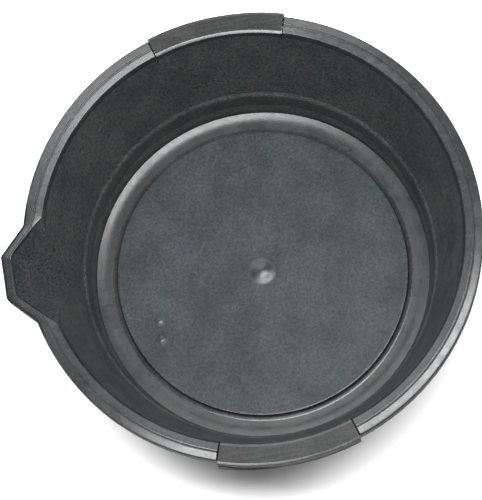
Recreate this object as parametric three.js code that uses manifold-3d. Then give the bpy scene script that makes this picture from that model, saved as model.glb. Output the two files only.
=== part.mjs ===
// Oil drain pan: a round, open, injection-moulded catch pan with a raised floor, a foot channel,
// a flared side wall, a rolled rim, two flat hand grips and a pour spout.
// Millimetres, +Z up. The base stands on Z = 0, the spout points along -X, the grips lie at +Y and -Y.
// The origin is under the middle of the overall footprint, so the pan's own axis is a little to +X.
import * as THREE from "three";
import { ConvexGeometry } from "three/addons/geometries/ConvexGeometry.js";
import { mergeVertices } from "three/addons/utils/BufferGeometryUtils.js";
import Module from "manifold-3d";

const wasm = await Module();
wasm.setup();

// Driving dimensions
const HEIGHT = 160; // base to the crest of the rim
const RIM_R = 210; // outside of the rim's skirt
const MOUTH_R = 192; // inner edge of the rim
const SHELL = 2.8; // wall thickness of the moulding
const SKIN = 2.6; // thickness of the rim's and the grips' skirts
const GAP = 0.3; // clearance between neighbouring regions
const SEGMENTS = 72; // facets round the pan
const SLICE_STEPS = 12; // sides of the outer edge of a cutting slice, which stays clear of the pan

// Floor and foot
const FLOOR_Z = 9; // top of the raised floor
const FLOOR_R = 142; // edge of the raised floor
const SEAM_R = FLOOR_R - 1.75; // where the floor panel meets the step into the channel
const FOOT_IN_R = 146.7; // flat bottom of the foot channel
const FOOT_OUT_R = 150.5;
const FOOT_STAND = { in: 143.8, out: 153 }; // the flat ring that the pan stands on
const CHANNEL_R = 163; // outer edge of the foot channel, where the wall starts
const SWEEP_SLOPE = 0.26; // rise of the channel's outer side for each millimetre outwards
const SWEEP_RUN = 5; // width over which the flat bottom bends up into that slope
const CHANNEL_Z = SHELL + SWEEP_SLOPE * (CHANNEL_R - FOOT_OUT_R - SWEEP_RUN / 2) + GAP;
const BOSS_R = 14.6; // moulding gate boss in the middle of the floor
const BOSS_RISE = 2.7;
const PIPS = [{ x: -106.6, y: -31 }, { x: -107.3, y: -49.6 }]; // raised ejector marks on the floor
const PIP_R = 3.6;
const PIP_RISE = 1.1;
const PIP_ROOT = 1; // how far a pip's body reaches down into the floor panel
const PIP_SEGMENTS = 16;
const DOME_STEPS = 5; // rings of the boss and of the pips
const STEP_DRAFT = 0.2; // how far the step into the channel leans out on its way down
const EDGE_DROP = 0.8; // softened edges of the floor and of the grips

// Side wall
const LEDGE_R = 170.8; // soft ledge between the lower and the upper wall
const LEDGE_Z = 50;
// Bends of the lower wall: a soft foot, a nearly upright band and the start of the ledge, out from CHANNEL_R.
const LOWER_BENDS = [
  { offset: 0.6, z: 12 },
  { offset: 3.1, z: 22 },
  { offset: 4.6, z: 42 },
  { offset: 5.4, z: 44.8 },
  { offset: 7.4, z: 48.4 },
];
const MOUTH_Z = HEIGHT - 6.4; // top of the wall, under the rim's inner edge

// Rim and grips
const SKIRT_Z = HEIGHT - 17; // lower edge of the rim's skirt
const GRIP_HALF = THREE.MathUtils.degToRad(17.8); // half the angle that a grip covers
const GRIP_R = 212.4; // outside of a grip
const GRIP_Z = HEIGHT - 1.8; // flat top of a grip
const GRIP_SKIRT_Z = HEIGHT - 19;
const GRIP_LIP = 2.2; // outward lip on the lower edge of a grip
const GRIP_INNER = 3; // width of the sloping inner edge of a grip
const GRIP_INNER_DROP = 1.15;

// Pour spout, measured outwards from the pan's axis and sideways from the spout's middle
const TIP = { out: 229.6, half: 20.4 }; // outer corners of the tip
const ROOT = { out: 203.3, half: 47.5 }; // outer corners where the lip leaves the rim
const TIP_IN = { out: 219.9, half: 18.75 }; // inner corners of the tip
const ROOT_IN = { out: 183.3, half: 54.1 }; // inner corners on the rim's inner edge
const TROUGH_Z = 78; // where the trough's three faces meet on the wall
const TROUGH_TOP_Z = HEIGHT - 2;
const LIP_Z = HEIGHT;
const LIP_PLATE = 2.8;
const TROUGH_DROP = 2.2; // how far the top of the trough's shell lies below the top of the lip
const TROUGH_BACK = 0.75 * MOUTH_R; // how far from the axis the trough's shape ends, well inside the wall
const CLEAR = 60; // how far a cutting shape runs past what it cuts
const TALL = HEIGHT + 10; // top of a cutting shape

// The overall footprint runs from the spout's tip to the far side of the rim.
const AXIS_X = (TIP.out - RIM_R) / 2;

const PLASTIC = { color: 0x3b3f41, roughness: 0.5, metalness: 0 };
const POLISHED = { color: 0x44494b, roughness: 0.36, metalness: 0 };
const GRAINED = { color: 0x36393a, roughness: 0.66, metalness: 0 };

// A closed three.js geometry as a solid that can be cut and joined.
function solid(geometry) {
  const bare = geometry.clone();
  bare.deleteAttribute("normal");
  bare.deleteAttribute("uv");
  const merged = mergeVertices(bare, 1e-4);
  return new wasm.Manifold(
    new wasm.Mesh({
      numProp: 3,
      vertProperties: merged.attributes.position.array,
      triVerts: new Uint32Array(merged.index.array),
    }),
  );
}

function geometryOf(made) {
  const { vertProperties, triVerts } = made.getMesh();
  const geometry = new THREE.BufferGeometry();
  geometry.setAttribute("position", new THREE.BufferAttribute(vertProperties, 3));
  geometry.setIndex(new THREE.BufferAttribute(triVerts, 1));
  geometry.computeVertexNormals();
  return geometry;
}

// A section of [radius, height] points turned round the pan's axis.
// A section that doesn't touch the axis is closed on itself.
function turned(section, segments = SEGMENTS) {
  const points = section.map(([r, z]) => new THREE.Vector2(r, z));
  if (THREE.ShapeUtils.area(points) < 0) points.reverse();
  const onAxis = points.some((p) => p.x === 0);
  if (!onAxis) points.push(points[0].clone());
  const geometry = new THREE.LatheGeometry(points, segments);
  geometry.rotateX(Math.PI / 2);
  return solid(geometry);
}

// An upright prism over an outline of Vector2 points.
function prism(outline, low, high) {
  const shape = new THREE.Shape(outline);
  const geometry = new THREE.ExtrudeGeometry(shape, { depth: high - low, bevelEnabled: false });
  geometry.translate(0, 0, low);
  return solid(geometry);
}

// The slice of space between two angles round the pan's axis, less half a gap at each side.
function slice(from, to) {
  const reach = 2 * RIM_R;
  const inset = GAP / 2 / RIM_R;
  const arc = new THREE.Path().absarc(0, 0, reach, from + inset, to - inset).getPoints(SLICE_STEPS);
  return prism([new THREE.Vector2(0, 0), ...arc], -GAP, TALL);
}

// Inner radius of the upper wall at a height.
function wallRadius(z) {
  return LEDGE_R + ((MOUTH_R - LEDGE_R) * (z - LEDGE_Z)) / (MOUTH_Z - LEDGE_Z);
}

// A point beside the spout: distance out along -X, and sideways along Y.
const beside = ({ out, half }, side) => new THREE.Vector2(-out, side * half);

// The trough is bounded by a middle face and two side faces that fan out from one point on the wall.
// Each face is moved outwards by the thickness asked for.
function trough(thickness, top) {
  const apex = new THREE.Vector3(-wallRadius(TROUGH_Z), 0, TROUGH_Z);
  const at = (corner, side) => new THREE.Vector3(-corner.out, side * corner.half, TROUGH_TOP_Z);
  const inside = new THREE.Vector3(0, 0, HEIGHT);
  const face = (a, b) => {
    const plane = new THREE.Plane().setFromCoplanarPoints(apex, a, b);
    if (plane.distanceToPoint(inside) > 0) plane.negate();
    plane.constant -= thickness;
    return plane;
  };
  const middle = face(at(TIP_IN, 1), at(TIP_IN, -1));
  const left = face(at(TIP_IN, 1), at(ROOT_IN, 1));
  const right = face(at(TIP_IN, -1), at(ROOT_IN, -1));
  const lid = new THREE.Plane(new THREE.Vector3(0, 0, 1), -top);
  const back = new THREE.Plane(new THREE.Vector3(1, 0, 0), TROUGH_BACK);
  return solid(
    new ConvexGeometry([
      meeting(middle, left, right),
      meeting(middle, left, lid),
      meeting(middle, right, lid),
      meeting(left, back, lid),
      meeting(right, back, lid),
      meeting(left, right, back),
    ]),
  );
}

// The point where three planes meet.
function meeting(a, b, c) {
  const rows = new THREE.Matrix3().set(
    ...a.normal.toArray(),
    ...b.normal.toArray(),
    ...c.normal.toArray(),
  );
  return new THREE.Vector3(-a.constant, -b.constant, -c.constant).applyMatrix3(rows.invert());
}

// Where the lip's inner edge leaves the rim: the foot of the square end of each lip arm.
function armFoot(side) {
  const root = beside(ROOT, side);
  const along = beside(ROOT, side).sub(beside(TIP, side)).normalize();
  const inner = beside(ROOT_IN, side).sub(beside(TIP_IN, side)).normalize();
  const reach = root.clone().sub(beside(TIP_IN, side)).dot(along) / inner.dot(along);
  return beside(TIP_IN, side).addScaledVector(inner, reach);
}

// Plan of everything that the spout takes out of the round rim.
function spoutPlan() {
  const half = (side) => {
    const along = beside(ROOT, side).sub(beside(TIP, side)).normalize();
    const away = new THREE.Vector2(-1, side);
    const root = beside(ROOT, side).addScaledVector(along, GAP);
    return [
      root.clone().addScaledVector(away, CLEAR),
      root,
      armFoot(side).addScaledVector(along, GAP),
      beside(ROOT_IN, side),
      new THREE.Vector2(-TROUGH_BACK, side * ROOT_IN.half),
    ];
  };
  return [...half(1), ...half(-1).reverse()];
}

// The floor is a flat disc with a low domed boss in the middle, hollow below, and two small raised marks.
function floorPanel() {
  const dome = (radius, rise, base) =>
    Array.from({ length: DOME_STEPS + 1 }, (_, i) => {
      const t = i / DOME_STEPS;
      return [radius * t, base + rise * (1 - t * t)];
    });
  const panel = turned([
    ...dome(BOSS_R, BOSS_RISE, FLOOR_Z),
    [SEAM_R - GAP, FLOOR_Z],
    [SEAM_R - GAP, FLOOR_Z - SHELL],
    ...dome(BOSS_R, BOSS_RISE, FLOOR_Z - SHELL).reverse(),
  ]);
  const pip = turned(
    [...dome(PIP_R, PIP_RISE, FLOOR_Z), [PIP_R, FLOOR_Z - PIP_ROOT], [0, FLOOR_Z - PIP_ROOT]],
    PIP_SEGMENTS,
  );
  return PIPS.reduce((made, { x, y }) => made.add(pip.translate([x, y, 0])), panel);
}

function footChannel() {
  return turned([
    [SEAM_R, FLOOR_Z],
    [FLOOR_R, FLOOR_Z],
    [FLOOR_R + EDGE_DROP, FLOOR_Z - EDGE_DROP],
    [FLOOR_R + EDGE_DROP + STEP_DRAFT, SHELL + 1.6],
    [FOOT_IN_R - 2.3, SHELL + 0.5],
    [FOOT_IN_R, SHELL],
    [FOOT_OUT_R, SHELL],
    [FOOT_OUT_R + SWEEP_RUN / 2, SHELL + (SWEEP_SLOPE * SWEEP_RUN) / 10],
    [FOOT_OUT_R + SWEEP_RUN, SHELL + (SWEEP_SLOPE * SWEEP_RUN) / 2],
    [CHANNEL_R, CHANNEL_Z - GAP],
    [CHANNEL_R + SHELL, CHANNEL_Z - GAP],
    [CHANNEL_R + 2.2, 3],
    [CHANNEL_R - 1, 1.2],
    [FOOT_STAND.out, 0],
    [FOOT_STAND.in, 0],
    [SEAM_R, 1.8],
  ]);
}

// The lower wall stands a little steeper than the upper wall and ends in a soft ledge.
function lowerWall() {
  const inner = [
    [CHANNEL_R, CHANNEL_Z],
    ...LOWER_BENDS.map(({ offset, z }) => [CHANNEL_R + offset, z]),
    [LEDGE_R, LEDGE_Z - GAP],
  ];
  const outer = inner.map(([r, z]) => [r + SHELL, z]).reverse();
  return turned([...inner, ...outer]);
}

function upperWall() {
  const shell = turned([
    [LEDGE_R, LEDGE_Z],
    [MOUTH_R, MOUTH_Z - GAP],
    [MOUTH_R + SHELL, MOUTH_Z - GAP],
    [LEDGE_R + SHELL, LEDGE_Z],
  ]);
  return shell.subtract(trough(SHELL + GAP, TALL));
}

// The rolled rim: a sloping inner shoulder, a narrow groove, a crest that slopes gently to a rounded outer
// edge, and a skirt, hollow below.
function rimRing() {
  return turned([
    [MOUTH_R, MOUTH_Z],
    [MOUTH_R + 0.4, HEIGHT - 4.2],
    [MOUTH_R + 1.4, HEIGHT - 2.8],
    [MOUTH_R + 4, HEIGHT - 1.8],
    [MOUTH_R + 7.6, HEIGHT - 0.8],
    [MOUTH_R + 9.2, HEIGHT - 1.1],
    [MOUTH_R + 10.4, HEIGHT],
    [RIM_R - 1.6, HEIGHT - 1.2],
    [RIM_R, HEIGHT - 2.8],
    [RIM_R, SKIRT_Z],
    [RIM_R - SKIN, SKIRT_Z],
    [RIM_R - SKIN, HEIGHT - 4.8],
    [MOUTH_R + 10.4, HEIGHT - 3.6],
    [MOUTH_R + 4.6, HEIGHT - 4.8],
    [MOUTH_R + SHELL, MOUTH_Z],
  ]);
}

function rimBeside(from, to) {
  return rimRing()
    .intersect(slice(from, to))
    .subtract(prism(spoutPlan(), LEDGE_Z, TALL))
    .subtract(trough(SHELL + GAP, TALL));
}

// A grip is a flat ledge over the full width of the rim, with a deeper skirt and open underneath.
function grip(middle) {
  return turned([
    [MOUTH_R, MOUTH_Z],
    [MOUTH_R + 0.6, GRIP_Z - GRIP_INNER_DROP],
    [MOUTH_R + 0.6 + GRIP_INNER, GRIP_Z],
    [GRIP_R - EDGE_DROP, GRIP_Z],
    [GRIP_R, GRIP_Z - EDGE_DROP],
    [GRIP_R, GRIP_SKIRT_Z + 2],
    [GRIP_R + GRIP_LIP, GRIP_SKIRT_Z + 1.2],
    [GRIP_R + GRIP_LIP, GRIP_SKIRT_Z],
    [GRIP_R - SKIN, GRIP_SKIRT_Z],
    [GRIP_R - SKIN, GRIP_Z - SHELL],
    [MOUTH_R + SHELL + 0.6, GRIP_Z - SHELL],
    [MOUTH_R + SHELL, MOUTH_Z],
  ]).intersect(slice(middle - GRIP_HALF, middle + GRIP_HALF));
}

function pourSpout() {
  const outline = [
    beside(ROOT, 1),
    beside(TIP, 1),
    beside(TIP, -1),
    beside(ROOT, -1),
    armFoot(-1),
    beside(TIP_IN, -1),
    beside(TIP_IN, 1),
    armFoot(1),
  ];
  // The hollow behind the lip's skirt follows the outline a skin's thickness inside it, and it
  // runs on past the square ends of the lip, where the hollow under the rim takes over.
  const slant = SKIN / Math.SQRT2;
  const past = 3 * SKIN;
  const hollow = [1, -1].flatMap((side) => {
    const root = new THREE.Vector2(-ROOT.out + past, side * (ROOT.half + past - 2 * slant));
    const tip = new THREE.Vector2(-TIP.out + SKIN, side * (TIP.half - slant / 2));
    return side > 0 ? [root, tip] : [tip, root];
  });
  const lip = prism(outline, SKIRT_Z, LIP_Z).subtract(prism(hollow, 0, LIP_Z - LIP_PLATE));
  const bowl = turned([
    [0, 0],
    [LEDGE_R, 0],
    [LEDGE_R, LEDGE_Z],
    [MOUTH_R, MOUTH_Z],
    [MOUTH_R, TALL],
    [0, TALL],
  ]);
  return trough(SHELL, LIP_Z - TROUGH_DROP)
    .add(lip)
    .subtract(bowl)
    .subtract(trough(0, TALL));
}

const pan = new THREE.Group();
pan.position.x = AXIS_X;

function place(name, made, finish) {
  const mesh = new THREE.Mesh(geometryOf(made), new THREE.MeshStandardMaterial(finish));
  mesh.name = name;
  pan.add(mesh);
}

const QUARTER = Math.PI / 2;
place("floor_panel", floorPanel(), PLASTIC);
place("foot_channel", footChannel(), POLISHED);
place("lower_wall", lowerWall(), GRAINED);
place("upper_wall", upperWall(), GRAINED);
place("rim_right", rimRing().intersect(slice(-QUARTER + GRIP_HALF, QUARTER - GRIP_HALF)), POLISHED);
place("rim_left_rear", rimBeside(QUARTER + GRIP_HALF, 2 * QUARTER), POLISHED);
place("rim_left_front", rimBeside(2 * QUARTER, 3 * QUARTER - GRIP_HALF), POLISHED);
place("grip_rear", grip(QUARTER), GRAINED);
place("grip_front", grip(3 * QUARTER), GRAINED);
place("pour_spout", pourSpout(), POLISHED);

const part = new THREE.Group();
part.add(pan);
export default part;
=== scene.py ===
"""Looks of the oil drain pan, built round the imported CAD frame.

The real pan is one dark plastic moulding. Each region of it is a closed skin made of columns: a column is
the region's section at one angle round the pan's axis, and quads join each column to the next.
Sections are in millimetres, as (radius from the pan's axis, height), and become metres when a skin is made.
Angles are in degrees. One called off is measured from the middle of the spout, which points along -X.
"""

import math
import bmesh
import bpy
import numpy as np
from mathutils import Matrix, Vector


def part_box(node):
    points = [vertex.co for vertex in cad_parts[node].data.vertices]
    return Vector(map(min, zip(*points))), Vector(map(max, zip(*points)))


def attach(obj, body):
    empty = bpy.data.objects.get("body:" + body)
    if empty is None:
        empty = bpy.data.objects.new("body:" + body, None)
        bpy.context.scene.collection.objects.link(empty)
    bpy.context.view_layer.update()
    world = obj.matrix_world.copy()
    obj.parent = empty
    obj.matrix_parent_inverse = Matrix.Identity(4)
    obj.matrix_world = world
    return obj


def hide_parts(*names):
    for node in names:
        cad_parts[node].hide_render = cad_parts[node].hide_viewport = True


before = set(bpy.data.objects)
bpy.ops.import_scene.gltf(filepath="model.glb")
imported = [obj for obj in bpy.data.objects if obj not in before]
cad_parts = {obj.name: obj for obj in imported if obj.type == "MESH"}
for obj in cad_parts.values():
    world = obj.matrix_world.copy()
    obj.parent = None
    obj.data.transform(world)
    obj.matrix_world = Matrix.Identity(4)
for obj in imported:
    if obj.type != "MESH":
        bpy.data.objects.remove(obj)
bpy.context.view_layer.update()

MM = 0.001
BODY = "root"


# ---------------------------------------------------------------- sizes, from the frame where it has them


def in_mm(node):
    """Lowest and highest corner of a CAD node, in millimetres."""
    low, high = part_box(node)
    return np.array(low) / MM, np.array(high) / MM


rim_low, rim_high = in_mm("rim_right")
grip_low, grip_high = in_mm("grip_rear")
floor_low, floor_high = in_mm("floor_panel")
wall_low, _ = in_mm("upper_wall")
_, channel_high = in_mm("foot_channel")
spout_low, _ = in_mm("pour_spout")

GAP = 0.3  # between neighbouring CAD nodes
AXIS_X = (floor_low[0] + floor_high[0]) / 2
HEIGHT = rim_high[2]
RIM_R = rim_high[0] - AXIS_X
SKIRT_Z = rim_low[2]
LEDGE_Z = wall_low[2]
FLOOR_Z = channel_high[2]
SEAM_R = (floor_high[0] - floor_low[0]) / 2 + GAP / 2  # where the floor panel meets the step into the channel

SHELL = 2.8  # wall thickness
SKIN = 2.6  # thickness of the skirts
MOUTH_R = 192.0  # inner edge of the rim
MOUTH_Z = HEIGHT - 6.4
LEDGE_R = 170.8
SPLIT_Z = HEIGHT - 12.5  # where the upper wall gives way to the rim, the grips and the spout

FLOOR_R = 142.3
FOOT_OUT_R = 150.5  # outer edge of the channel's flat bottom
STAND_OUT_R = 153.0  # outer edge of the face that stands on the ground
CHANNEL_R = 163.0
SWEEP_SLOPE = 0.30  # rise of the channel's outer side for each millimetre outwards
SWEEP_RUN = 10.0  # width over which the flat bottom bends up into that slope
SWEEP_TOP = SHELL + SWEEP_SLOPE * (CHANNEL_R - FOOT_OUT_R - SWEEP_RUN / 2)
WALL_FOOT_Z = SWEEP_TOP + 0.4  # where the channel meets the wall

GRIP_HALF = math.degrees(math.asin((grip_high[0] - grip_low[0]) / 2 / grip_high[1]))
GRIP_R = 212.4
GRIP_Z = HEIGHT - 1.8
GRIP_SKIRT_Z = grip_low[2]

# Corners of the pour spout as (distance out along -X, half width along Y): of its outline, and of its trough.
TIP = (AXIS_X - spout_low[0], 20.4)
ROOT = (203.3, 47.5)
TIP_IN = (219.9, 18.75)
ROOT_IN = (183.3, 54.1)
TROUGH_Z = 78.0  # foot of the trough
TROUGH_TOP_Z = HEIGHT - 2.0
SPOUT_HALF = 17.2  # the spout's skin reaches this far to each side of its middle


# ---------------------------------------------------------------- curves


def smooth_min(a, b, blend):
    """The lower of a and b, rounded off where they differ by less than blend."""
    share = np.clip(0.5 + 0.5 * (b - a) / blend, 0, 1)
    return b + (a - b) * share - blend * share * (1 - share)


def smooth_max(a, b, blend):
    """The higher of a and b, rounded off in the same way."""
    return -smooth_min(-a, -b, blend)


def smooth_step(t):
    """A rise from 0 to 1 while t goes from 0 to 1, level at both ends."""
    t = np.clip(t, 0, 1)
    return t * t * (3 - 2 * t)


def span(start, stop, step):
    """Values from start to stop, both included, in even steps no longer than step."""
    return np.linspace(start, stop, max(2, math.ceil((stop - start) / step) + 1))


ARC_POINTS = 7  # points of the arc at a corner
ARC_SHARE = 0.48  # most of a side that the arc at one of its ends may take


def rounded(corners, closed=False):
    """Points of a line through (x, y, radius) corners, with an arc of that radius at each corner."""
    points = [np.array(c[:2], float) for c in corners]
    made = []
    last = len(corners) - 1
    for i, (_, _, radius) in enumerate(corners):
        here = points[i]
        if radius == 0 or (not closed and i in (0, last)):
            made.append(here)
            continue
        back, ahead = points[i - 1] - here, points[(i + 1) % len(points)] - here
        back_length, ahead_length = np.linalg.norm(back), np.linalg.norm(ahead)
        back, ahead = back / back_length, ahead / ahead_length
        half = math.acos(np.clip(back @ ahead, -1, 1)) / 2
        reach = min(radius / math.tan(half), ARC_SHARE * back_length, ARC_SHARE * ahead_length)
        start, end, weight = here + back * reach, here + ahead * reach, math.sin(half)
        for t in np.linspace(0, 1, ARC_POINTS):
            parts = ((1 - t) ** 2, 2 * weight * t * (1 - t), t**2)
            made.append((parts[0] * start + parts[1] * here + parts[2] * end) / sum(parts))
    return np.array(made)


TURN_WEIGHT = 5.0  # what a bend of a radian counts for in spaced()
LENGTH_WEIGHT = 0.25  # what a millimetre counts for


def spaced(line, count):
    """The same line with count points, set closer together where it bends."""
    step = np.diff(line, axis=0)
    length = np.linalg.norm(step, axis=1)
    heading = np.unwrap(np.arctan2(step[:, 1], step[:, 0]))
    turn = np.abs(np.diff(heading, prepend=heading[0]))
    along = np.concatenate([[0], np.cumsum(length * LENGTH_WEIGHT + turn * TURN_WEIGHT)])
    wanted = np.linspace(0, along[-1], count)
    return np.column_stack([np.interp(wanted, along, line[:, 0]), np.interp(wanted, along, line[:, 1])])


def densified(line, longest, guide=None):
    """The same line with extra points, so that no step is longer than longest.

    A guide is another line with as many points. Its steps then say how many points to add, so that lines
    that differ a little get as many points each.
    """
    guide = line if guide is None else guide
    steps = np.linalg.norm(np.diff(guide, axis=0), axis=1)
    made = [line[0]]
    for a, b, step in zip(line[:-1], line[1:], steps):
        pieces = max(1, math.ceil(step / longest))
        made += [a + (b - a) * (k + 1) / pieces for k in range(pieces)]
    return np.array(made)


# ---------------------------------------------------------------- skins

COLUMN_STEP = 1.0  # degrees between the columns of a plain ring
LONGEST = 3  # longest step of a section's points, in mm
MERGE = 2e-6  # points closer together than this, in metres, become one
SHARP = 32  # bend in degrees from which an edge is shaded as a crease


def placed(angle, section):
    """A section at an angle round the pan's axis, from +X towards +Y, as points of the frame in metres."""
    a = math.radians(angle)
    r, z = section[:, 0], section[:, 1]
    return np.column_stack([AXIS_X + r * math.cos(a), r * math.sin(a), z]) * MM


def skin(name, node_name, columns, materials, pick, ring=False):
    """A closed mesh through the columns, each of them a closed loop of points.

    A ring joins its last column to its first, and any other skin has a cap at each end. pick(centre, normal)
    gives the number of a face's material in materials, from the face's centre in mm and its normal.
    """
    count, around = len(columns), len(columns[0])
    vertices = np.concatenate(columns)
    faces = []
    for i in range(count if ring else count - 1):
        here, after = i * around, (i + 1) % count * around
        for k in range(around):
            n = (k + 1) % around
            faces.append((here + k, here + n, after + n, after + k))
    if not ring:
        faces.append(tuple(range(around)))
        faces.append(tuple(range((count - 1) * around, count * around))[::-1])
    mesh = bpy.data.meshes.new(name)
    mesh.from_pydata(vertices.tolist(), [], faces)
    for material in materials:
        mesh.materials.append(material)
    merged = bmesh.new()
    merged.from_mesh(mesh)
    bmesh.ops.remove_doubles(merged, verts=merged.verts, dist=MERGE)
    bmesh.ops.recalc_face_normals(merged, faces=merged.faces)
    for face in merged.faces:
        face.material_index = pick(face.calc_center_median() / MM, face.normal)
    merged.to_mesh(mesh)
    merged.free()
    mesh.shade_smooth()
    mesh.set_sharp_from_angle(angle=math.radians(SHARP))
    piece = bpy.data.objects.new(name, mesh)
    bpy.context.scene.collection.objects.link(piece)
    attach(piece, BODY)
    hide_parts(node_name)
    return piece


def turned(name, node_name, section, materials, pick):
    """A section turned all the way round."""
    columns = [placed(angle, section) for angle in np.arange(0, 360, COLUMN_STEP)]
    return skin(name, node_name, columns, materials, pick, ring=True)


# ---------------------------------------------------------------- shapes of the walls, the trough and the rim

WALL_SLOPE = (MOUTH_Z - LEDGE_Z) / (MOUTH_R - LEDGE_R)


def wall_r(z, out=0.0):
    """Radius of the upper wall's inner face at a height, or of the face that lies out beyond it."""
    return LEDGE_R + out + (z - LEDGE_Z) / WALL_SLOPE


def wall_z(r, out=0.0):
    """Height at which that face has a radius."""
    return LEDGE_Z + (r - out - LEDGE_R) * WALL_SLOPE


def plane_through(a, b, c, shift):
    """A trough face through three (out, side, z) points, moved out by shift.

    It is given as the (normal, offset) of the plane normal . point = offset.
    """
    a, b, c = (np.array(p, float) for p in (a, b, c))
    normal = np.cross(b - a, c - a)
    normal /= np.linalg.norm(normal)
    if normal[0] < 0:
        normal = -normal
    return normal, normal @ a + shift


def trough_faces(shift):
    """Planes of the trough's middle face and of a side face, moved out by shift."""
    apex = (wall_r(TROUGH_Z), 0, TROUGH_Z)
    tip, root = (*TIP_IN, TROUGH_TOP_Z), (*ROOT_IN, TROUGH_TOP_Z)
    middle = plane_through(apex, tip, (TIP_IN[0], -TIP_IN[1], TROUGH_TOP_Z), shift)
    side = plane_through(apex, tip, root, shift)
    return middle, side


TROUGH = trough_faces(0)
TROUGH_OUTSIDE = trough_faces(SHELL)
TROUGH_BEND = 7.0  # how softly the trough's faces run into each other
CREASE_SEARCH = 25.0  # how far below the trough's foot the crease search starts
CREASE_STEPS = 1200


def trough_z(r, off, faces):
    """Height of the trough's surface at a radius and an angle."""
    a = math.radians(abs(off))
    heights = [(c - r * (n[0] * math.cos(a) + n[1] * math.sin(a))) / n[2] for n, c in faces]
    return smooth_max(heights[0], heights[1], TROUGH_BEND)


def crease_z(off, faces, out):
    """Height at which the trough leaves the wall, no higher than where the rim starts."""
    if abs(off) > SPOUT_HALF:
        return SPLIT_Z
    z = np.linspace(TROUGH_Z - CREASE_SEARCH, SPLIT_Z, CREASE_STEPS)
    above = trough_z(wall_r(z, out), off, faces) < z
    return float(z[np.argmax(above)]) if above.any() else SPLIT_Z


ARM = np.array([ROOT[1] - TIP[1], TIP[0] - ROOT[0]])
ARM = ARM / np.linalg.norm(ARM)  # normal of the spout's side edge
ARM_OFFSET = ARM @ np.array(ROOT)
CORNER = 1.6  # rounding of the spout's outline
ROUND_OFF = 2 * SPOUT_HALF  # angle beyond which the outline is a plain circle


def outline_r(off, inset):
    """Radius of the pan's outline at an angle, moved in by inset."""
    a = math.radians(abs(off))
    if abs(off) > ROUND_OFF:
        return RIM_R - inset
    arm = (ARM_OFFSET - inset) / (ARM[0] * math.cos(a) + ARM[1] * math.sin(a))
    tip = (TIP[0] - inset) / math.cos(a)
    return float(smooth_max(RIM_R - inset, smooth_min(arm, tip, CORNER), CORNER))


def inset_at(r, off):
    """How far inside the pan's outline a radius is at an angle."""
    a = math.radians(abs(off))
    if abs(off) > ROUND_OFF:
        return RIM_R - r
    arm = ARM_OFFSET - r * (ARM[0] * math.cos(a) + ARM[1] * math.sin(a))
    tip = TIP[0] - r * math.cos(a)
    return smooth_max(RIM_R - r, smooth_min(arm, tip, CORNER), CORNER)


RIM_EDGE = 1.5  # how far the outer edge lies below the crest
# Top of the rim as (inset from the outline, height, radius of the bend): slope, crest, groove, shoulder.
RIM_TOP = rounded(
    [
        (0, HEIGHT - RIM_EDGE, 0),
        (7.6, HEIGHT, 1.6),
        (8.8, HEIGHT - 1.1, 0.9),
        (10.0, HEIGHT - 0.7, 1.6),
        (17.5, HEIGHT - 2.6, 9.0),
        (40, HEIGHT - 9.6, 0),
    ]
)
EDGE_INSET = 2.4  # where the rim's top ends and its rounded outer edge starts
UNDER_INSET = SKIN + 0.6  # where its underside meets the skirt
MOUTH_BEND = 7.0  # how broadly the shoulder runs into the wall
LIP_BEND = 1.0  # how sharply the lip runs into the trough
LIP_SQUEEZE = 0.3  # how much narrower the rim's shape is on the spout
SQUEEZE_OFF = SPOUT_HALF - 1  # angle at which it starts to narrow
SQUEEZE_RUN = 6.0  # degrees over which it narrows
LAND_RISE = 4.0  # height above the wall's top over which a land's drop sets in
LAND_MARGIN = 3.0  # width at the outer edge over which it fades out again
CURVE_SAMPLES = 700
UPPER_POINTS = 84
UNDER_POINTS = 44
WALL_POINTS = 25


def rim_top(inset, off):
    """Height of the rim's top at an inset. The spout's narrow lip has the same shape, squeezed inwards."""
    squeeze = 1 + LIP_SQUEEZE * smooth_step((SQUEEZE_OFF - abs(off)) / SQUEEZE_RUN)
    return np.interp(inset * squeeze, RIM_TOP[:, 0], RIM_TOP[:, 1])


def rim_surface(r, off, drop, faces, out):
    """Height of the rim's upper surface, or of the surface that lies drop and out beneath it."""
    top = rim_top(inset_at(r, off), off) - drop
    height = smooth_min(wall_z(r, out), top, MOUTH_BEND)
    if abs(off) < SPOUT_HALF:
        height = smooth_min(height, trough_z(r, off, faces), LIP_BEND)
    return height


def rim_curve(off, low_z, inset, drop, faces, out, count):
    """The line of a rim surface from the wall out to an inset from the outline."""
    r = np.linspace(wall_r(low_z, out), outline_r(off, inset), CURVE_SAMPLES)
    return spaced(np.column_stack([r, rim_surface(r, off, drop, faces, out)]), count)


def rim_section(off, sink=0.0):
    """The closed section of the rolled rim or the spout at an angle. sink is how far a land is lowered."""
    top_crease, under_crease = crease_z(off, TROUGH, 0), crease_z(off, TROUGH_OUTSIDE, SHELL)
    upper = rim_curve(off, top_crease, EDGE_INSET, 0, TROUGH, 0, UPPER_POINTS)
    under = rim_curve(off, under_crease, UNDER_INSET, SHELL, TROUGH_OUTSIDE, SHELL, UNDER_POINTS)
    edge = rounded(
        [
            (EDGE_INSET, float(rim_top(EDGE_INSET, off)), 0),
            (0, HEIGHT - RIM_EDGE, 2.0),
            (0, SKIRT_Z, 0.7),
            (SKIN, SKIRT_Z, 0.7),
            (SKIN, HEIGHT - RIM_EDGE - 2.4, 0),
        ]
    )[1:]
    edge = np.array([(outline_r(off, inset), z) for inset, z in edge])
    section = np.concatenate([upper, edge, under[::-1]])
    if sink:
        raised = smooth_step((section[:, 1] - SPLIT_Z) / LAND_RISE)
        section[:, 1] -= sink * raised * smooth_step((RIM_R - section[:, 0]) / LAND_MARGIN)
    return section


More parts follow.
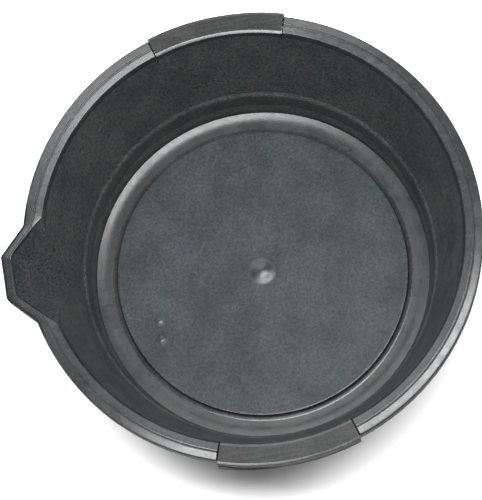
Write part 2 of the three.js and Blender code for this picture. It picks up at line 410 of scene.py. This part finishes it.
def wall_section(off):
    """The closed section of the upper wall, cut away where the trough leaves it."""
    inner = np.linspace(LEDGE_Z, crease_z(off, TROUGH, 0), WALL_POINTS)
    outer = np.linspace(crease_z(off, TROUGH_OUTSIDE, SHELL), LEDGE_Z, WALL_POINTS)
    faces = [np.column_stack([wall_r(inner), inner]), np.column_stack([wall_r(outer, SHELL), outer])]
    return np.concatenate(faces)


# ---------------------------------------------------------------- materials


def new_node(tree, kind, **inputs):
    """A new shader node, with values for its inputs by name."""
    made = tree.nodes.new(kind)
    for key, value in inputs.items():
        made.inputs[key.title()].default_value = value
    return made


def ramp(tree, factor, stops):
    """A colour ramp over (position, grey or colour) stops."""
    made = tree.nodes.new("ShaderNodeValToRGB")
    while len(made.color_ramp.elements) < len(stops):
        made.color_ramp.elements.new(0.5)
    for element, (position, colour) in zip(made.color_ramp.elements, stops):
        element.position = position
        element.color = (*colour, 1) if isinstance(colour, tuple) else (colour, colour, colour, 1)
    tree.links.new(factor, made.inputs[0])
    return made.outputs[0]


# Sizes in mm of the patterns that every plastic has.
BLOTCH = 38
TINT = 7
SPECK = 2.4
STREAK = 2.6
SCUFF = 2.4
SHEEN = 9

COOL = (0.87, 1.03, 1.07)
WARM = (1.10, 0.98, 0.94)
STREAK_STRETCH = 26  # length of a streak for its width
SCUFF_STRETCH = 11
SCUFF_TURNS = (12, 61, 118, 155)  # directions of the scuffs, from X


def plastic(
    name, dark, light, rough, grain_size, grain_depth, specular=0.5, streaks=None, scratches=0.0, specks=0.34
):
    """Moulded plastic: blotches between two colours, a warm and cool tint, specks, uneven gloss and a grain.

    The grain's size and depth are in mm. streaks is the direction of faint lines, in degrees from X.
    scratches and specks say how strongly thin scuffs and small spots show.
    """
    made = bpy.data.materials.new(name)
    made.use_nodes = True
    tree = made.node_tree
    shader = tree.nodes["Principled BSDF"]
    shader.inputs["Specular IOR Level"].default_value = specular
    where = tree.nodes.new("ShaderNodeTexCoord").outputs["Object"]

    def noise(size, detail=3.0, softness=0.6, vector=where):
        made = new_node(tree, "ShaderNodeTexNoise", scale=1 / (size * MM), detail=detail, roughness=softness)
        tree.links.new(vector, made.inputs["Vector"])
        return made.outputs["Fac"]

    def stretched(turn, stretch):
        """The place on the piece, turned about Z and drawn out along its own X."""
        made = tree.nodes.new("ShaderNodeMapping")
        made.vector_type = "TEXTURE"
        made.inputs["Rotation"].default_value = (0, 0, math.radians(turn))
        made.inputs["Scale"].default_value = (stretch, 1, 1)
        tree.links.new(where, made.inputs["Vector"])
        return made.outputs["Vector"]

    def mixed(kind, a, b):
        made = tree.nodes.new("ShaderNodeMix")
        made.data_type = "RGBA"
        made.blend_type = kind
        made.inputs[0].default_value = 1.0
        tree.links.new(a, made.inputs[6])
        tree.links.new(b, made.inputs[7])
        return made.outputs[2]

    colour = ramp(tree, noise(BLOTCH, 4, 0.62), [(0.38, dark), (0.62, light)])
    tint = ramp(tree, noise(TINT), [(0.32, COOL), (0.68, WARM)])
    colour = mixed("MULTIPLY", colour, tint)
    dots = ramp(tree, noise(SPECK, 3, 0.75), [(0.3, 1 - specks), (0.7, 1 + specks)])
    colour = mixed("MULTIPLY", colour, dots)
    if streaks is not None:
        streak = noise(STREAK, 2, 0.5, stretched(streaks, STREAK_STRETCH))
        colour = mixed("MULTIPLY", colour, ramp(tree, streak, [(0.36, 0.78), (0.64, 1.24)]))
    if scratches:
        for turn in SCUFF_TURNS:
            scuff = noise(SCUFF, 1, 0.4, stretched(turn, SCUFF_STRETCH))
            colour = mixed("ADD", colour, ramp(tree, scuff, [(0.68, 0), (0.80, scratches)]))
    tree.links.new(colour, shader.inputs["Base Color"])
    gloss = ramp(tree, noise(SHEEN), [(0.3, rough - 0.05), (0.7, rough + 0.06)])
    tree.links.new(gloss, shader.inputs["Roughness"])
    bump = new_node(tree, "ShaderNodeBump", strength=1.0, distance=grain_depth * MM)
    tree.links.new(noise(grain_size, 3, 0.65), bump.inputs["Height"])
    tree.links.new(bump.outputs["Normal"], shader.inputs["Normal"])
    return made


FLOOR_PLASTIC = plastic(
    "floor_plastic",
    dark=(0.0146, 0.0183, 0.0198),
    light=(0.0235, 0.0278, 0.0294),
    rough=0.42,
    grain_size=1.6,
    grain_depth=0.09,
    specular=0.2,
    scratches=0.008,
    specks=0.5,
)
# Glossier than the floor, and darker. The darker colour is painted shade on the boss and the dots.
SHADED_BOSS_PLASTIC = plastic(
    "shaded_boss_plastic",
    dark=(0.0115, 0.0145, 0.0155),
    light=(0.0175, 0.0203, 0.0212),
    rough=0.33,
    grain_size=1.6,
    grain_depth=0.04,
    specular=0.45,
)
SMOOTH_PLASTIC = plastic(
    "smooth_plastic",
    dark=(0.0150, 0.0168, 0.0174),
    light=(0.0226, 0.0250, 0.0250),
    rough=0.25,
    grain_size=2.2,
    grain_depth=0.04,
)
CHANNEL_PLASTIC = plastic(
    "channel_plastic",
    dark=(0.0150, 0.0168, 0.0174),
    light=(0.0226, 0.0250, 0.0250),
    rough=0.31,
    grain_size=2.2,
    grain_depth=0.05,
    specular=0.48,
)
GRAINED_PLASTIC = plastic(
    "grained_plastic",
    dark=(0.0330, 0.0375, 0.0375),
    light=(0.0490, 0.0530, 0.0510),
    rough=0.50,
    grain_size=1.3,
    grain_depth=0.3,
    specks=0.8,
)
GRIP_PLASTIC = plastic(
    "grip_plastic",
    dark=(0.0145, 0.0150, 0.0150),
    light=(0.0215, 0.0220, 0.0215),
    rough=0.44,
    grain_size=1.5,
    grain_depth=0.12,
    specular=0.2,
    streaks=0,
    specks=0.5,
)
# A darker, matte copy of the smooth plastic. Its dark colour is painted shade on the skirts, the rims' ends,
# the lands beside the grips and the lip's outer margin.
PAINTED_SHADE_PLASTIC = plastic(
    "painted_shade_plastic",
    dark=(0.0085, 0.0096, 0.0096),
    light=(0.0126, 0.0138, 0.0133),
    rough=0.6,
    grain_size=1.3,
    grain_depth=0.15,
    specular=0.1,
)
OUTER_PLASTIC = plastic(
    "outer_plastic",
    dark=(0.0130, 0.0146, 0.0146),
    light=(0.0190, 0.0208, 0.0202),
    rough=0.45,
    grain_size=1.5,
    grain_depth=0.10,
    specular=0.35,
    specks=0.25,
)
# A darker copy of the grained wall plastic. The darkening is painted shade in the trough.
SHADED_TROUGH_PLASTIC = plastic(
    "shaded_trough_plastic",
    dark=(0.0190, 0.0220, 0.0220),
    light=(0.0277, 0.0300, 0.0296),
    rough=0.55,
    grain_size=1.3,
    grain_depth=0.3,
    specks=0.8,
)

# The plastics of each kind of skin, in the order of the numbers that its pick function gives.
FLOOR_PLASTICS = [FLOOR_PLASTIC, SHADED_BOSS_PLASTIC]
CHANNEL_PLASTICS = [SMOOTH_PLASTIC, OUTER_PLASTIC, CHANNEL_PLASTIC]
WALL_PLASTICS = [GRAINED_PLASTIC, OUTER_PLASTIC]
RIM_PLASTICS = [SMOOTH_PLASTIC, PAINTED_SHADE_PLASTIC, GRAINED_PLASTIC]
SPOUT_PLASTICS = [SMOOTH_PLASTIC, PAINTED_SHADE_PLASTIC, SHADED_TROUGH_PLASTIC]
GRIP_PLASTICS = [GRIP_PLASTIC, PAINTED_SHADE_PLASTIC, SMOOTH_PLASTIC, GRAINED_PLASTIC]


# ---------------------------------------------------------------- which face has which plastic

STEEP = 0.6  # a face is steep where its normal rises less than this
LEAST_RISE = 0.05  # how much the normal of the steep inside of the bowl rises, at least and at most
MOST_RISE = 0.62
LEVEL = 0.2  # a land's normal rises more than this
ENDWAYS = 0.5  # a face is the end of a rim where its normal turns along the rim by more than this
MOUTH_FACE_R = MOUTH_R + 1  # out to this radius the rim's faces belong to the mouth
STEP_FACE_R = FOOT_OUT_R - 2  # out to this radius the channel has the step's plastic
GRAIN_TOP = HEIGHT - 8.5  # where the wall's grain ends, below a smooth band under the rim whose darker colour also paints the shade under the rim's edge
TROUGH_GRAIN_TOP = HEIGHT - 3.2
LAND_TOP = HEIGHT - 3.4  # a level face of the rim below this is a land beside a grip
LIP_MARGIN = 2.3  # width of the matte outer margin of the spout's lip, whose dark colour is painted shade
LIP_MARGIN_Z = SKIRT_Z + 2  # lower end of that margin


def from_axis(centre):
    """A face's (x, y) from the pan's axis."""
    return centre.x - AXIS_X, centre.y


def outward(centre, normal):
    """Above zero for a face that looks away from the pan's axis."""
    x, y = from_axis(centre)
    return x * normal.x + y * normal.y


def in_the_bowl(centre, normal):
    """Whether a face is on the steep inside of the wall or the trough."""
    return outward(centre, normal) < 0 and LEAST_RISE < normal.z < MOST_RISE


def on_shell(centre, normal):
    """Material 1 on the outer face of the pan, which has less grain than the inside."""
    return 1 if outward(centre, normal) > 0 else 0


def on_channel(centre, normal):
    """Material 1 on the underside and 2 on the outer side of the channel, which shines less than the step."""
    if normal.z < 0:
        return 1
    return 2 if math.hypot(*from_axis(centre)) > STEP_FACE_R else 0


def on_rim(centre, normal):
    """Material 1, dark with painted shade, on the matte skirt, the ends and the lands beside the grips, and 2
    on the grained wall.
    """
    x, y = from_axis(centre)
    r = math.hypot(x, y)
    if outward(centre, normal) > 0 and abs(normal.z) < STEEP and centre.z < HEIGHT - RIM_EDGE:
        return 1
    on_end = abs(x * normal.y - y * normal.x) > ENDWAYS * r
    on_land = normal.z > LEVEL and centre.z < LAND_TOP
    if r > MOUTH_FACE_R and (on_end or on_land):
        return 1
    return 2 if in_the_bowl(centre, normal) and centre.z < GRAIN_TOP else 0


def on_spout(centre, normal):
    """Material 1, dark with painted shade, on the skirt and the outer margin of the lip, and 2 in the trough,
    grained up to the lip and darkened with painted shade.
    """
    x, y = from_axis(centre)
    off = math.degrees(math.atan2(abs(y), -x))
    if centre.z > LIP_MARGIN_Z and inset_at(math.hypot(x, y), off) < LIP_MARGIN:
        return 1
    if in_the_bowl(centre, normal) and centre.z < TROUGH_GRAIN_TOP:
        return 2
    return on_rim(centre, normal)


# ---------------------------------------------------------------- floor, channel and lower wall

BOSS_R = 14.6
BOSS_RISE = 2.7
BOSS_POLISH_R = 0.93 * BOSS_R
# Small raised dots on the floor as (x, y) from the pan's axis, with one height and radius for both.
PIPS = [(-106.6, -31.0), (-107.3, -49.6)]
PIP_RISE = 1.0
PIP_R = 3.2
PIP_POLISH_R = 0.9 * PIP_R

# The floor's mesh is fine out to a radius round the boss, and between two angles and radii round the dots.
BOSS_FINE_R = 18
BOSS_RINGS = 22
PIP_FINE_ANGLES = (188, 214)
PIP_FINE_RADII = (102, 128)
PIP_ANGLE_STEP = 0.4
PIP_RING_STEP = 0.7
RING_STEP = 4.0
SWEEP_POINTS = 16


def floor_rise(x, y):
    """Height of the boss and the dots above the flat of the floor."""
    rise = BOSS_RISE * (1 - smooth_step(np.hypot(x, y) / BOSS_R))
    for px, py in PIPS:
        rise = rise + PIP_RISE * (1 - smooth_step(np.hypot(x - px, y - py) / (2 * PIP_R)))
    return rise


def on_floor(centre, normal):
    """Material 1 on the polished boss and dots, darker with painted shade."""
    x, y = from_axis(centre)
    on_pip = any(math.hypot(x - px, y - py) < PIP_POLISH_R for px, py in PIPS)
    return 1 if normal.z > 0 and (on_pip or math.hypot(x, y) < BOSS_POLISH_R) else 0


def make_floor():
    first, last = PIP_FINE_ANGLES
    before, after = np.arange(0, first, COLUMN_STEP), np.arange(last, 360, COLUMN_STEP)
    around = np.concatenate([before, np.arange(first, last, PIP_ANGLE_STEP), after])
    near, far = PIP_FINE_RADII
    boss, pips = np.linspace(0, BOSS_FINE_R, BOSS_RINGS), np.arange(near, far, PIP_RING_STEP)
    out = np.concatenate([boss, np.arange(BOSS_FINE_R + RING_STEP, near, RING_STEP), pips, [SEAM_R]])
    columns = []
    for angle in around:
        a = math.radians(angle)
        top = np.column_stack([out, FLOOR_Z + floor_rise(out * math.cos(a), out * math.sin(a))])
        under = top[::-1] - (0, SHELL)
        columns.append(placed(angle, np.concatenate([top, under])))
    return skin("raised_floor", "floor_panel", columns, FLOOR_PLASTICS, on_floor, ring=True)


def sweep():
    """The channel's outer side: level at first, then an even slope, as corners with no bend of their own."""
    corners = []
    for x in np.linspace(0, CHANNEL_R - FOOT_OUT_R, SWEEP_POINTS):
        t = min(x / SWEEP_RUN, 1)
        rise = SWEEP_SLOPE * (SWEEP_RUN * (t**3 - t**4 / 2) + max(x - SWEEP_RUN, 0))
        corners.append((FOOT_OUT_R + x, SHELL + rise, 0))
    return corners


def make_channel():
    section = rounded(
        [
            (SEAM_R, FLOOR_Z, 0),
            (FLOOR_R, FLOOR_Z, 0.9),
            (FLOOR_R + 0.5, SHELL + 1.1, 2.2),
            (FLOOR_R + 4.4, SHELL, 6),
            *sweep(),
            (CHANNEL_R, WALL_FOOT_Z, 0),
            (CHANNEL_R + SHELL, WALL_FOOT_Z, 0.3),
            (CHANNEL_R + 2.2, 3.0, 1.5),
            (CHANNEL_R - 1, 1.2, 1.5),
            (STAND_OUT_R, 0, 2),
            (SEAM_R, 0, 3.5),
            (SEAM_R, FLOOR_Z - SHELL, 0),
        ],
        closed=True,
    )
    section = densified(section, LONGEST)
    return turned("foot_ring", "foot_channel", section, CHANNEL_PLASTICS, on_channel)


def make_lower_wall():
    inner = rounded(
        [
            (CHANNEL_R, WALL_FOOT_Z, 0),
            (CHANNEL_R + 0.6, 12, 4),
            (CHANNEL_R + 3.1, 22, 5),
            (CHANNEL_R + 4.6, 42, 5),
            (CHANNEL_R + 5.4, 44.8, 1.5),
            (LEDGE_R - 0.4, 48.4, 1.5),
            (LEDGE_R, LEDGE_Z, 0),
        ]
    )
    outer = inner[::-1] + (SHELL, 0)
    section = densified(np.concatenate([inner, outer]), LONGEST)
    return turned("lower_wall_skin", "lower_wall", section, WALL_PLASTICS, on_shell)


# ---------------------------------------------------------------- upper wall, spout and rim

SPOUT_STEP = 0.2  # degrees between the columns near the spout
NEAR_SPOUT = span(-SPOUT_HALF, SPOUT_HALF, SPOUT_STEP)
PLAIN_OFF = 90  # an angle where the spout has no part in the rim's section
LAND = 0.42  # degrees of lowered rim beside a grip
LAND_STEP = 0.06  # degrees of the step up from it
LAND_DROP = 5.0


def make_upper_wall():
    far_side = span(SPOUT_HALF, 360 - SPOUT_HALF, COLUMN_STEP)[1:-1]
    columns = []
    for off in np.concatenate([NEAR_SPOUT, far_side]):
        folded = off - 360 if off > 180 else off
        columns.append(placed(180 - off, wall_section(folded)))
    return skin("flared_wall", "upper_wall", columns, WALL_PLASTICS, on_shell, ring=True)


def make_spout():
    columns = [placed(180 - off, rim_section(off)) for off in NEAR_SPOUT]
    return skin("pour_spout_skin", "pour_spout", columns, SPOUT_PLASTICS, on_spout)


def make_rim(name, node_name, start, stop, lands):
    """A stretch of the rolled rim between two angles from +X. lands says which of its ends are lowered."""
    low, high = start + (LAND if lands[0] else 0), stop - (LAND if lands[1] else 0)
    plain, sunk = rim_section(PLAIN_OFF), rim_section(PLAIN_OFF, LAND_DROP)
    columns = [placed(angle, plain) for angle in span(low, high, COLUMN_STEP)]
    if lands[0]:
        columns = [placed(start, sunk), placed(low - LAND_STEP, sunk)] + columns
    if lands[1]:
        columns += [placed(high + LAND_STEP, sunk), placed(stop, sunk)]
    return skin(name, node_name, columns, RIM_PLASTICS, on_rim)


# ---------------------------------------------------------------- grips

INNER_EDGE = 2.8  # width of the smooth sloping inner edge of a grip
INNER_DROP = 1.15
EDGE_ROUND = 2.2  # rounding of its outer edge
GRIP_UNDER_Z = GRIP_Z - SHELL - 0.6
GRIP_STEP = 0.8  # degrees between a grip's columns
GRIP_LONGEST = 2.5  # longest step of its section's points


def on_grip(centre, normal):
    """Material 1, dark with painted shade, on the skirt, 2 on the top's smooth edges and just under the top,
    where the smooth plastic's darker colour paints shade, 3 on the grained wall.
    """
    if normal.z < STEEP:
        if in_the_bowl(centre, normal):
            return 3 if centre.z < GRAIN_TOP else 2
        return 1
    r = math.hypot(*from_axis(centre))
    return 2 if r < wall_r(GRIP_Z) + INNER_EDGE or r > GRIP_R - EDGE_ROUND else 0


def grip_section(proud, flange):
    """The closed section of a grip. Its edge stands proud, and its skirt ends in a flange of that width."""
    edge = GRIP_R + proud
    mouth = wall_r(GRIP_Z - INNER_DROP)
    return rounded(
        [
            (wall_r(SPLIT_Z), SPLIT_Z, 0),
            (mouth, GRIP_Z - INNER_DROP, 0.9),
            (mouth + INNER_EDGE, GRIP_Z, 2.0),
            (edge - EDGE_ROUND, GRIP_Z - 0.05, 0.4),
            (edge, GRIP_Z - 0.6, 0.4),
            (edge, GRIP_SKIRT_Z + 2, 0.3),
            (edge + flange, GRIP_SKIRT_Z + 1.4, 0.3),
            (edge + flange, GRIP_SKIRT_Z, 0.4),
            (edge - SKIN, GRIP_SKIRT_Z, 0.5),
            (edge - SKIN, GRIP_UNDER_Z, 1.2),
            (wall_r(GRIP_Z - SHELL, SHELL), GRIP_UNDER_Z, 1.2),
            (wall_r(SPLIT_Z, SHELL), SPLIT_Z, 0),
        ],
        closed=True,
    )


def make_grip(name, node_name, middle, proud, flange):
    """A grip round an angle. proud and flange are widths in mm at its start, and from its middle on."""
    angles = span(middle - GRIP_HALF, middle + GRIP_HALF, GRIP_STEP)
    guide = grip_section(0, 1)
    columns = []
    for t, angle in zip(np.linspace(0, 1, len(angles)), angles):
        share = smooth_step(min(1, 2 * t))
        widths = [a + (b - a) * share for a, b in (proud, flange)]
        columns.append(placed(angle, densified(grip_section(*widths), GRIP_LONGEST, guide)))
    return skin(name, node_name, columns, GRIP_PLASTICS, on_grip)


make_floor()
make_channel()
make_lower_wall()
make_upper_wall()
make_spout()
make_rim("rim_right_roll", "rim_right", -90 + GRIP_HALF, 90 - GRIP_HALF, lands=(True, True))
make_rim("rim_left_rear_roll", "rim_left_rear", 90 + GRIP_HALF, 180 - SPOUT_HALF, lands=(True, False))
make_rim("rim_left_front_roll", "rim_left_front", 180 + SPOUT_HALF, 270 - GRIP_HALF, lands=(False, True))
make_grip("grip_rear_ledge", "grip_rear", 90, proud=(0.9, 0.0), flange=(0.6, 0.6))
make_grip("grip_front_ledge", "grip_front", 270, proud=(0.0, 0.0), flange=(2.1, 0.5))


# ---------------------------------------------------------------- floor of the studio, light and camera

STUDIO_HALF = 6.0  # half the studio floor's width, in metres
LAMP_AIM = (0, 0, 0.1)
WORLD_LIGHT = 0.22

CAMERA_AZIMUTH = -82.18
CAMERA_ELEVATION = 75.45
CAMERA_ROLL = 17.80
CAMERA_AIM = (-4.6, 6.32, 80)  # in mm
CAMERA_DISTANCE = 2.0
CAMERA_LENS = 152.3
CAMERA_SENSOR = 36


def make_stage():
    made = bpy.data.materials.new("pale_floor")
    made.use_nodes = True
    tree = made.node_tree
    shader = tree.nodes["Principled BSDF"]
    shader.inputs["Roughness"].default_value = 0.7
    shader.inputs["Specular IOR Level"].default_value = 0.2
    grain = new_node(tree, "ShaderNodeTexNoise", scale=3.0, detail=2.0)
    tree.links.new(ramp(tree, grain.outputs["Fac"], [(0.0, 0.90), (1.0, 0.92)]), shader.inputs["Base Color"])
    mesh = bpy.data.meshes.new("studio_floor")
    sheet = bmesh.new()
    bmesh.ops.create_grid(sheet, x_segments=8, y_segments=8, size=STUDIO_HALF)
    sheet.to_mesh(mesh)
    sheet.free()
    mesh.materials.append(made)
    floor = bpy.data.objects.new("studio_floor", mesh)
    bpy.context.scene.collection.objects.link(floor)


def direction(azimuth, elevation):
    """A unit vector, azimuth from +X towards +Y."""
    a, e = math.radians(azimuth), math.radians(elevation)
    return Vector((math.cos(a) * math.cos(e), math.sin(a) * math.cos(e), math.sin(e)))


def add_at(name, data, aim, away, distance, roll=0.0):
    """A lamp or camera that looks at aim from a distance, on the side that the unit vector away points to."""
    made = bpy.data.objects.new(name, data)
    bpy.context.scene.collection.objects.link(made)
    made.location = Vector(aim) + away * distance
    right = Vector((0, 0, 1)).cross(away).normalized()
    up = away.cross(right)
    cos, sin = math.cos(math.radians(roll)), math.sin(math.radians(roll))
    axes = Matrix((right * cos - up * sin, right * sin + up * cos, away))
    made.rotation_mode = "QUATERNION"
    made.rotation_quaternion = axes.transposed().to_quaternion()
    return made


def softbox(name, azimuth, elevation, distance, size, radiance, glossy=True, diffuse=True):
    """A rectangular lamp of a given brightness per area. It shows in reflections, lights surfaces, or both."""
    lamp = bpy.data.lights.new(name, "AREA")
    lamp.shape = "RECTANGLE"
    lamp.size, lamp.size_y = size
    lamp.energy = radiance * math.pi * size[0] * size[1]
    made = add_at(name, lamp, LAMP_AIM, direction(azimuth, elevation), distance)
    made.visible_glossy = glossy
    made.visible_diffuse = diffuse
    made.visible_camera = False


def make_light():
    softbox("overhead", 76, 86.8, distance=2.4, size=(2.6, 0.85), radiance=27.5, glossy=False)
    softbox("key", -68, 78, distance=2.4, size=(2.3, 0.62), radiance=21, diffuse=False)
    softbox("back", 100, 50, distance=1.8, size=(1.6, 0.8), radiance=4.2, diffuse=False)
    world = bpy.data.worlds.new("studio")
    world.use_nodes = True
    background = world.node_tree.nodes["Background"]
    background.inputs["Color"].default_value = (1, 1, 1, 1)
    background.inputs["Strength"].default_value = WORLD_LIGHT
    bpy.context.scene.world = world
    bpy.context.scene.view_settings.view_transform = "Standard"


def make_camera():
    lens = bpy.data.cameras.new("camera")
    lens.lens, lens.sensor_width = CAMERA_LENS, CAMERA_SENSOR
    lens.clip_start, lens.clip_end = 0.05, 60
    away = direction(CAMERA_AZIMUTH, CAMERA_ELEVATION)
    aim = Vector(CAMERA_AIM) * MM
    bpy.context.scene.camera = add_at("camera", lens, aim, away, CAMERA_DISTANCE, CAMERA_ROLL)


make_stage()
make_light()
make_camera()

bpy.context.view_layer.update()
